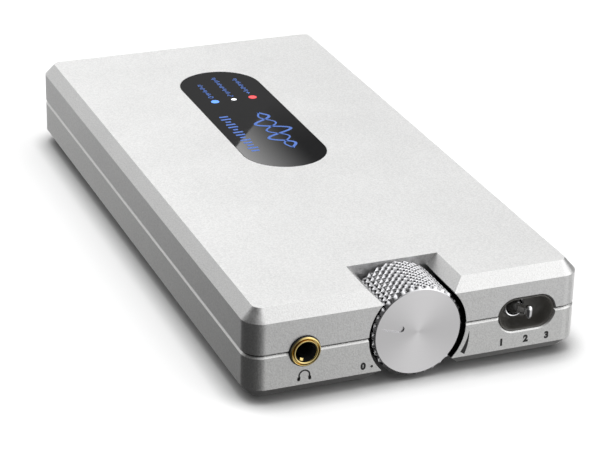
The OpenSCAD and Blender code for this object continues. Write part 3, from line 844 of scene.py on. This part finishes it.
def make_lever():
    """Bright upright capsule on a flat shaft."""
    rings = [[Vector((0, -LEVER_REACH, 0))]]
    for i in range(1, TIP_ROWS):
        angle = math.pi * i / TIP_ROWS
        radius = TIP_RADIUS * math.sin(angle)
        if angle > math.pi / 2:
            radius = max(radius, SHAFT_RADIUS)
        half = (TIP_HALF - TIP_RADIUS) * min(1, TIP_SQUARE + math.sin(angle)) + radius
        y = -LEVER_REACH + TIP_RADIUS * (1 - math.cos(angle))
        rings.append(stadium_ring(0, 0, half, radius, y, upright=True))
    rings.append(stadium_ring(0, 0, SHAFT_HALF, SHAFT_RADIUS, SHAFT_END, upright=True))
    bm = bmesh.new()
    loft(bm, at_lever(rings), caps=(False, True))
    new_piece("selector_paddle", bm, ["chrome"], "selector_lever", ["selector_lever"],
              sharp_angle=50)


BALL_ROWS = 20
BALL_STEPS = 40
TAIL_RADIUS = 0.45
TAIL_START = 0.96 * BALL_RADIUS
TAIL_END = 2.3
PIN_RADIUS = 0.35
PIN_HALF = 2.0
PIN_STEPS = 24


def make_lever_ball():
    """Dark ball that the lever turns on, with its tail towards the switch and its pin."""
    rings = [[Vector((0, -BALL_RADIUS, 0))]]
    for i in range(1, BALL_ROWS):
        angle = math.pi * i / BALL_ROWS
        radius = BALL_RADIUS * math.sin(angle)
        if angle > math.pi / 2 and radius < TAIL_RADIUS:
            break
        rings.append(circle_ring(0, 0, radius, -BALL_RADIUS * math.cos(angle), BALL_STEPS))
    rings += [circle_ring(0, 0, TAIL_RADIUS, y, BALL_STEPS) for y in (TAIL_START, TAIL_END)]
    bm = bmesh.new()
    loft(bm, at_lever(rings), caps=(False, True))
    loft(bm, [upright_ring(lever_pivot, PIN_RADIUS, z, PIN_STEPS) for z in (-PIN_HALF, PIN_HALF)],
         caps=(True, True))
    new_piece("selector_ball", bm, ["black_gloss_plastic"], "selector_lever",
              sharp_angle=60)


# ---------- rear gain slider ----------

RIBS = 4
RIB_HEIGHT = 0.2
RIB_GAP = 0.06
RIB_SHOULDER = 0.35


def make_slider():
    """Moulded slider with finger ribs across its end."""
    low, high = slider.low, slider.high
    width = slider.size.x
    shoulder = high.y - RIB_SHOULDER
    outline = [(low.x, low.y), (low.x, shoulder)]
    for i in range(RIBS):
        left = low.x + width * i / RIBS
        right = low.x + width * (i + 1) / RIBS
        outline.append((left + RIB_GAP, high.y - RIB_HEIGHT))
        outline.append(((left + right) / 2, high.y))
        outline.append((right - RIB_GAP, high.y - RIB_HEIGHT))
    outline += [(high.x, shoulder), (high.x, low.y)]
    bm = bmesh.new()
    loft(bm, [[Vector((a, b, z)) for a, b in outline] for z in (low.z, high.z)], caps=(True, True))
    new_piece("gain_slider_ribbed", bm, ["black_plastic"], "gain_slider",
              ["gain_slider"])


# ---------- prints ----------

SIGN_FOOT = 3.8
ZERO = (-10.7, 3.9)
ZERO_DOT = (-9.0, 4.35, 0.25)
POSITIONS = (("1", 17.2), ("2", 22.25), ("3", 26.6))
POSITION_FOOT = 3.95
WEDGE_INNER = 10.53
WEDGE_START = -9
WEDGE_END = -33
WEDGE_POINT = 0.05
WEDGE_GROWTH = 0.95
WEDGE_STEPS = 20


def headphone_sign(bm, x, z):
    """Headband over two ear pads."""
    stroke(bm, arc(x, z + 1.08, 1.02, 198, -18, 28), 0.3, on_front)
    for side in (-1, 1):
        foot = (x + side * 1.08, z + 0.34)
        stroke(bm, [(x + side, z + 0.82), foot], 0.56, on_front)
        dot(bm, *foot, 0.3, on_front)


def volume_wedge(bm):
    """Curved wedge beside the knob that grows the way the volume does."""
    near = arc(0, SEAM, WEDGE_INNER, WEDGE_START, WEDGE_END, WEDGE_STEPS)
    far = []
    for i, (a, b) in enumerate(near):
        reach = 1 + (WEDGE_POINT + WEDGE_GROWTH * i / WEDGE_STEPS) / WEDGE_INNER
        far.append((a * reach, SEAM + (b - SEAM) * reach))
    prism(bm, near + far[::-1], on_front)


def make_front_prints():
    """Headphone sign, a 0 and a wedge for the volume, and the numbers of the selector's positions."""
    bm = bmesh.new()
    headphone_sign(bm, front_ring.middle.x, SIGN_FOOT)
    numeral(bm, "0", *ZERO)
    dot(bm, *ZERO_DOT, on_front)
    volume_wedge(bm)
    for text, x in POSITIONS:
        numeral(bm, text, x, POSITION_FOOT)
    new_piece("front_marks", bm, ["ink_black"], "chassis")


REAR_MARKS = 4.8
REAR_LINE = 0.2
REAR_DOT = 0.22
WAVE_STEPS = 28


def make_rear_prints():
    """Signs under the rear sockets: a wave for line, arrows for data, a bolt for charging, and
    one dot and two dots for the gain."""
    bm = bmesh.new()
    wave = []
    for i in range(WAVE_STEPS + 1):
        t = i / WAVE_STEPS
        wave.append((rear_ring.middle.x - 1.4 + 2.8 * t, REAR_MARKS + 0.55 * math.sin(2 * math.pi * t)))
    stroke(bm, wave, REAR_LINE, on_rear)
    for side in (-1, 1):
        x = Span("usb_data_socket").middle.x + 0.5 * side
        stroke(bm, [(x, REAR_MARKS - 0.6), (x, REAR_MARKS + 0.6)], REAR_LINE, on_rear)
        tip = REAR_MARKS - 0.7 * side
        base = tip + 0.6 * side
        prism(bm, [(x - 0.35, base), (x + 0.35, base), (x, tip)], on_rear)
    bolt(bm, Span("usb_charge_socket").middle.x, REAR_MARKS, 1.5, on_rear)
    for away in (-1.0, 0.7, 1.4):
        dot(bm, Span("gain_switch").middle.x + away, REAR_MARKS, REAR_DOT, on_rear)
    new_piece("rear_marks", bm, ["ink_black"], "chassis")


def bolt(bm, a, b, height, place):
    """Lightning bolt, centred."""
    shape = [(0.12, 0.5), (-0.3, -0.06), (-0.02, -0.06), (-0.12, -0.5), (0.3, 0.06), (0.02, 0.06)]
    prism(bm, [(a + height * u, b + height * v) for u, v in shape], place)


LABEL_PITCH = 0.6
LABEL_LINE = 0.26
INK_LINE = 0.2


def label_rows(bm, x, y, rows):
    """Column of short bars of changing length, in place of a word."""
    for i in range(rows):
        reach = 0.2 + 0.17 * ((i * 5 + rows) % 3)
        shift = 0.08 * ((i * 3) % 4 - 1.5)
        at = y + LABEL_PITCH * i
        stroke(bm, [(x - reach + shift, at), (x + reach + shift, at)], LABEL_LINE, on_window)


def power_sign(bm, x, y):
    stroke(bm, arc(x, y + 0.55, 0.5, 120, 420), INK_LINE, on_window)
    stroke(bm, [(x, y + 0.7), (x, y + 1.3)], INK_LINE, on_window)


def source_sign(bm, x, y):
    turn = 2 * math.pi / 16
    stroke(bm, [(x - 0.6 + 0.075 * i, y + 0.6 + 0.5 * math.sin(turn * i)) for i in range(17)],
           INK_LINE, on_window)


def charge_sign(bm, x, y):
    bolt(bm, x, y + 0.65, 1.6, on_window)


# For each status light: its colour's slot, its glow's radius, its sign, how far behind the light
# that stands, and the rows of its label.
LIGHTS = {"led_power": ("led_blue", 0.9, power_sign, 2.2, 12),
          "led_source": ("led_white", 0.6, source_sign, 1.7, 18),
          "led_charge": ("led_red", 0.9, charge_sign, 2.2, 14)}
SIGN_TO_LABEL = 1.75


def make_window_prints():
    """Signs behind the status lights, a row of level bars and a wave, all generic."""
    bm = bmesh.new()
    for name, (_, _, sign, behind, rows) in LIGHTS.items():
        x, y, _ = Span(name).middle
        sign(bm, x, y + behind)
        label_rows(bm, x, y + behind + SIGN_TO_LABEL, rows)
    level_bars(bm)
    wave_sign(bm)
    new_piece("window_marks", bm, ["ink_blue"], "chassis")


LEVEL_BARS = 14
LEVEL_X = -5.65
LEVEL_START = 2.2
LEVEL_PITCH = 1.5
LEVEL_LINE = 0.62


def level_bars(bm):
    """Row of bars along the window's left side, like a level meter."""
    for i in range(LEVEL_BARS):
        reach = 0.5 + 0.65 * abs(math.sin(1.1 * i + 0.6))
        at = LEVEL_START + LEVEL_PITCH * i
        stroke(bm, [(LEVEL_X - reach, at), (LEVEL_X + reach, at)], LEVEL_LINE, on_window)


SWELL_X = 2.3
SWELL_START = 1.0
SWELL_LENGTH = 21.0
SWELL_CYCLES = 2.5
SWELL_STEPS = 120


def wave_sign(bm):
    """Two sound waves that cross as they swell and fade, drawn along the window."""
    for reach, width in ((3.5, 0.62), (-1.9, 0.4)):
        points = []
        for i in range(SWELL_STEPS + 1):
            t = i / SWELL_STEPS
            swell = math.sin(math.pi * t) ** 0.8
            points.append((SWELL_X + reach * swell * math.sin(2 * math.pi * SWELL_CYCLES * t),
                           SWELL_START + SWELL_LENGTH * t))
        stroke(bm, points, width, on_window)


def make_glows():
    """The lit spots where the light pipes end in the window."""
    for name, (slot, radius, *_) in LIGHTS.items():
        x, y, _ = Span(name).middle
        bm = bmesh.new()
        dot(bm, x, y, radius, on_window, 32)
        new_piece(name + "_glow", bm, [slot], "chassis")


# ---------- USB contacts ----------

CONTACT_PITCH = 0.5
CONTACT_HALF = 0.14
CONTACT_PROUD = 0.03
CONTACT_ENDS = (2.6, 0.3)


def make_usb_contacts():
    """Gilt strips on both faces of each socket's tongue."""
    for kind in ("data", "charge"):
        tongue = Span("usb_" + kind + "_tongue")
        start, end = (tongue.high.y - back for back in CONTACT_ENDS)
        bm = bmesh.new()
        for i in range(-3, 4):
            x = tongue.middle.x + CONTACT_PITCH * i
            left, right = x - CONTACT_HALF, x + CONTACT_HALF
            outline = [(left, start), (right, start), (right, end), (left, end)]
            for z, out in ((tongue.high.z, CONTACT_PROUD), (tongue.low.z, -CONTACT_PROUD)):
                loft(bm, [[Vector((a, b, level)) for a, b in outline] for level in (z - out, z + out)],
                     caps=(True, True))
        new_piece("usb_" + kind + "_contacts", bm, ["gold_plate"], "chassis")


# ---------- camera, light and floor ----------

CAMERA_PLACE = (-153.43, -387.46, 193.15)
CAMERA_AZIMUTH = 22.08
CAMERA_DOWN = 24.64
CAMERA_ROLL = 1.27
CAMERA_LENS = 131.1


def add_camera():
    """The camera stands where the photograph's did, turned a little clockwise."""
    azimuth = math.radians(CAMERA_AZIMUTH)
    down = math.radians(CAMERA_DOWN)
    roll = math.radians(CAMERA_ROLL)
    ahead = math.cos(down)
    forward = Vector((math.sin(azimuth) * ahead, math.cos(azimuth) * ahead, -math.sin(down)))
    level = forward.cross(Vector((0, 0, 1))).normalized()
    upward = level.cross(forward)
    right = level * math.cos(roll) + upward * math.sin(roll)
    up = right.cross(forward)
    data = bpy.data.cameras.new("camera")
    data.lens = CAMERA_LENS
    data.sensor_width = 36
    data.clip_start = 0.01
    data.clip_end = 20
    camera = new_object("camera", data)
    turn = Matrix((right, up, -forward)).transposed().to_4x4()
    camera.matrix_world = Matrix.Translation(Vector(CAMERA_PLACE) * MM) @ turn
    bpy.context.scene.camera = camera


def lobe(tree, toward, direction, inner, outer):
    """1 within inner degrees of a direction, falling to 0 at outer degrees."""
    along = math_node(tree, "DOT_PRODUCT", toward, Vector(direction).normalized(), kind="VectorMath",
                      output="Value")
    return map_range(tree, along, math.cos(math.radians(outer)), math.cos(math.radians(inner)),
                     0, 1, "SMOOTHSTEP")


def flagged(tree, level, toward, direction, inner, outer, least):
    """The level, brought down to a share of itself round a direction."""
    flag = lobe(tree, toward, direction, inner, outer)
    return math_node(tree, "MULTIPLY", level, map_range(tree, flag, 0, 1, 1.0, least))


BACK_LIGHT = (0.34, 0.84, 0.42)
DIM_PATCH = (BACK_LIGHT, 9, 18, 0.15)
HORIZON = (-0.42, 0.02, 0.05, 1.0)
# A lobe's direction, its inner and outer degrees, and the share it leaves or the light it adds.
DARK_LOBES = [((-0.9, -0.27, 0.22), 38, 90, 0.07), ((0.9, 0.38, 0.18), 18, 44, 0.04),
              ((-0.22, 0.96, 0.12), 5, 28, 0.85)]
SOFT_LOBES = [((0.66, -0.67, -0.42), 8, 42, 0.57), ((0.80, 0.42, -0.42), 5, 34, 0.95),
              ((-0.15, 0.92, -0.32), 2, 17, 0.8), ((0.85, -0.35, 0.55), 8, 40, 0.62),
              ((0.15, 0.78, 0.72), 8, 38, 0.84), ((-0.87, -0.2, -0.46), 20, 60, 0.035)]


def add_world():
    """Studio tent: white above, falling to dark below the horizon. Dark lobes are flags, soft
    lobes stand for what the walls face, and there is a dim patch where the window looks."""
    world = bpy.data.worlds.new("studio")
    bpy.context.scene.world = world
    world.use_nodes = True
    tree = world.node_tree
    toward = add_node(tree, "TexCoord").outputs["Generated"]
    height = add_node(tree, "SeparateXYZ", Vector=toward).outputs["Z"]
    level = map_range(tree, height, *HORIZON, "SMOOTHSTEP")
    for flag in DARK_LOBES:
        level = flagged(tree, level, toward, *flag)
    for direction, inner, outer, strength in SOFT_LOBES:
        soft = math_node(tree, "MULTIPLY", lobe(tree, toward, direction, inner, outer), strength)
        level = math_node(tree, "ADD", level, soft)
    level = flagged(tree, level, toward, *DIM_PATCH)
    fill(tree, tree.nodes["Background"], Strength=level, Color=(1, 1, 1, 1))


def area_light(name, toward, distance, size, power, receivers):
    """Soft square panel in a direction from the object, facing it, which lights the receivers only."""
    data = bpy.data.lights.new(name, "AREA")
    data.shape = "RECTANGLE"
    data.size = size
    data.size_y = size
    data.energy = power
    light = new_object(name, data)
    away = Vector(toward).normalized()
    light.location = away * distance
    light.rotation_mode = "QUATERNION"
    light.rotation_quaternion = away.to_track_quat("Z", "Y")
    light.light_linking.receiver_collection = bpy.data.collections.new(name + "_receivers")
    for piece in receivers:
        light.light_linking.receiver_collection.objects.link(piece)


def add_lights(floor):
    """One panel for the top's sheen, which the window doesn't see, and one for the floor alone."""
    metal = [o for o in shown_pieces() if o.name != "window_lens"]
    area_light("back_panel", (0.34, 0.84, 0.50), 1.0, 0.5, 0.38, metal)
    area_light("floor_panel", (-0.3, -0.1, 1), 1.3, 1.2, 12.0, [floor])


CARD_DISTANCE = 0.9
CARD_LEFT = (Vector((-15.3, -3.4)), Vector((9.0, 28.9)))
CARD_RIGHT = (Vector((5.7, -22.3)), Vector((30.0, 10.0)))
CARD_STEPS = 24
CARD_FADE = 13.4
CARD_GLOW = 2.15
CARD_BASE = 0.12
CARD_LIFT = 0.005
CARD_LIFT_FROM = 3


def mirrored_in_window(x, y):
    """Where the camera's sight line through a point of the window's plane lands on the card."""
    point = Vector((x, y, TOP)) * MM
    sight = point - Vector(CAMERA_PLACE) * MM
    sight.z = -sight.z
    toward = Vector(BACK_LIGHT).normalized()
    sight.normalize()
    reach = (CARD_DISTANCE - point.dot(toward)) / sight.dot(toward)
    return point + sight * reach


def add_window_card():
    """Lit card that only the window sees. Its straight edge draws the slanting line across the
    window, and its glow fades to the right."""
    finish = bpy.data.materials.new("card_glow")
    finish.use_nodes = True
    tree = finish.node_tree
    tree.nodes.clear()
    fade = add_node(tree, "Attribute", attribute_name="glow")
    glow = add_node(tree, "Emission", Strength=fade.outputs["Fac"])
    add_node(tree, "OutputMaterial", Surface=glow.outputs[0])
    points, levels, faces = [], [], []
    for i in range(CARD_STEPS + 1):
        for j in range(CARD_STEPS + 1):
            away, along = i / CARD_STEPS, j / CARD_STEPS
            x, y = CARD_LEFT[0].lerp(CARD_LEFT[1], along).lerp(CARD_RIGHT[0].lerp(CARD_RIGHT[1], along), away)
            points.append(mirrored_in_window(x, y))
            fall = max(0, 1 - (x - lens.low.x) / CARD_FADE)
            lift = CARD_LIFT * max(0, y - CARD_LIFT_FROM)
            levels.append(CARD_BASE + CARD_GLOW * fall ** 1.5 + lift)
            if i and j:
                row = CARD_STEPS + 1
                here = i * row + j
                faces.append((here, here - 1, here - row - 1, here - row))
    mesh = bpy.data.meshes.new("window_card")
    mesh.from_pydata(points, [], faces)
    mesh.attributes.new("glow", "FLOAT", "POINT").data.foreach_set("value", levels)
    mesh.materials.append(finish)
    card = new_object("window_card", mesh)
    card.visible_camera = False
    card.visible_diffuse = False
    card.visible_shadow = False
    card.light_linking.receiver_collection = bpy.data.collections.new("window_only")
    card.light_linking.receiver_collection.objects.link(frame["nodes"]["window_lens"])
    card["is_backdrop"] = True


FLOOR_HALF = 6000
CREVICE = 6
CREVICE_SHADE = (0.4, 0.9, 0.4, 1.0)


def add_floor():
    """Plain pale floor, with a painted shadow that darkens it in the crevice under and round the case; from
    below it isn't seen.
    """
    finish, tree, shader = new_material("pale_floor", (0.93, 0.93, 0.93), 0.0, 0.9, Specular_IOR_Level=0.0)
    grain = noise(tree, object_point(tree), 0.02)
    paper = two_tone(tree, grain, (0.92, 0.92, 0.92), (0.94, 0.94, 0.94))
    # Painted shadow: the floor's colour darkens the more the case closes it in.
    depth = map_range(tree, openness(tree, CREVICE, 16), *CREVICE_SHADE)
    shaded = add_node(tree, "VectorMath", operation="SCALE", Vector=paper, Scale=depth)
    fill(tree, shader, Base_Color=shaded.outputs[0])
    clear = add_node(tree, "BsdfTransparent")
    side = add_node(tree, "NewGeometry")
    mix = add_node(tree, "MixShader", Fac=side.outputs["Backfacing"])
    tree.links.new(shader.outputs[0], mix.inputs[1])
    tree.links.new(clear.outputs[0], mix.inputs[2])
    fill(tree, tree.nodes["Material Output"], Surface=mix.outputs[0])
    bm = bmesh.new()
    bmesh.ops.create_grid(bm, x_segments=1, y_segments=1, size=FLOOR_HALF)
    floor = new_object("floor", mesh_from(bm, "floor", [finish]))
    floor.visible_glossy = False
    floor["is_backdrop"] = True
    return floor


# ---------- the scene ----------

dress_nodes()
make_knob()
make_socket_ring("headphone_ring_turned", "headphone_ring", front_ring, -1)
make_socket_ring("line_ring_turned", "line_ring", rear_ring, 1)
make_bezel()
make_collar()
make_lever()
make_lever_ball()
make_contact_spring()
make_slider()
make_usb_contacts()
make_front_prints()
make_rear_prints()
make_window_prints()
make_glows()
add_camera()
add_world()
add_lights(add_floor())
add_window_card()
bpy.context.scene.view_settings.view_transform = "Standard"
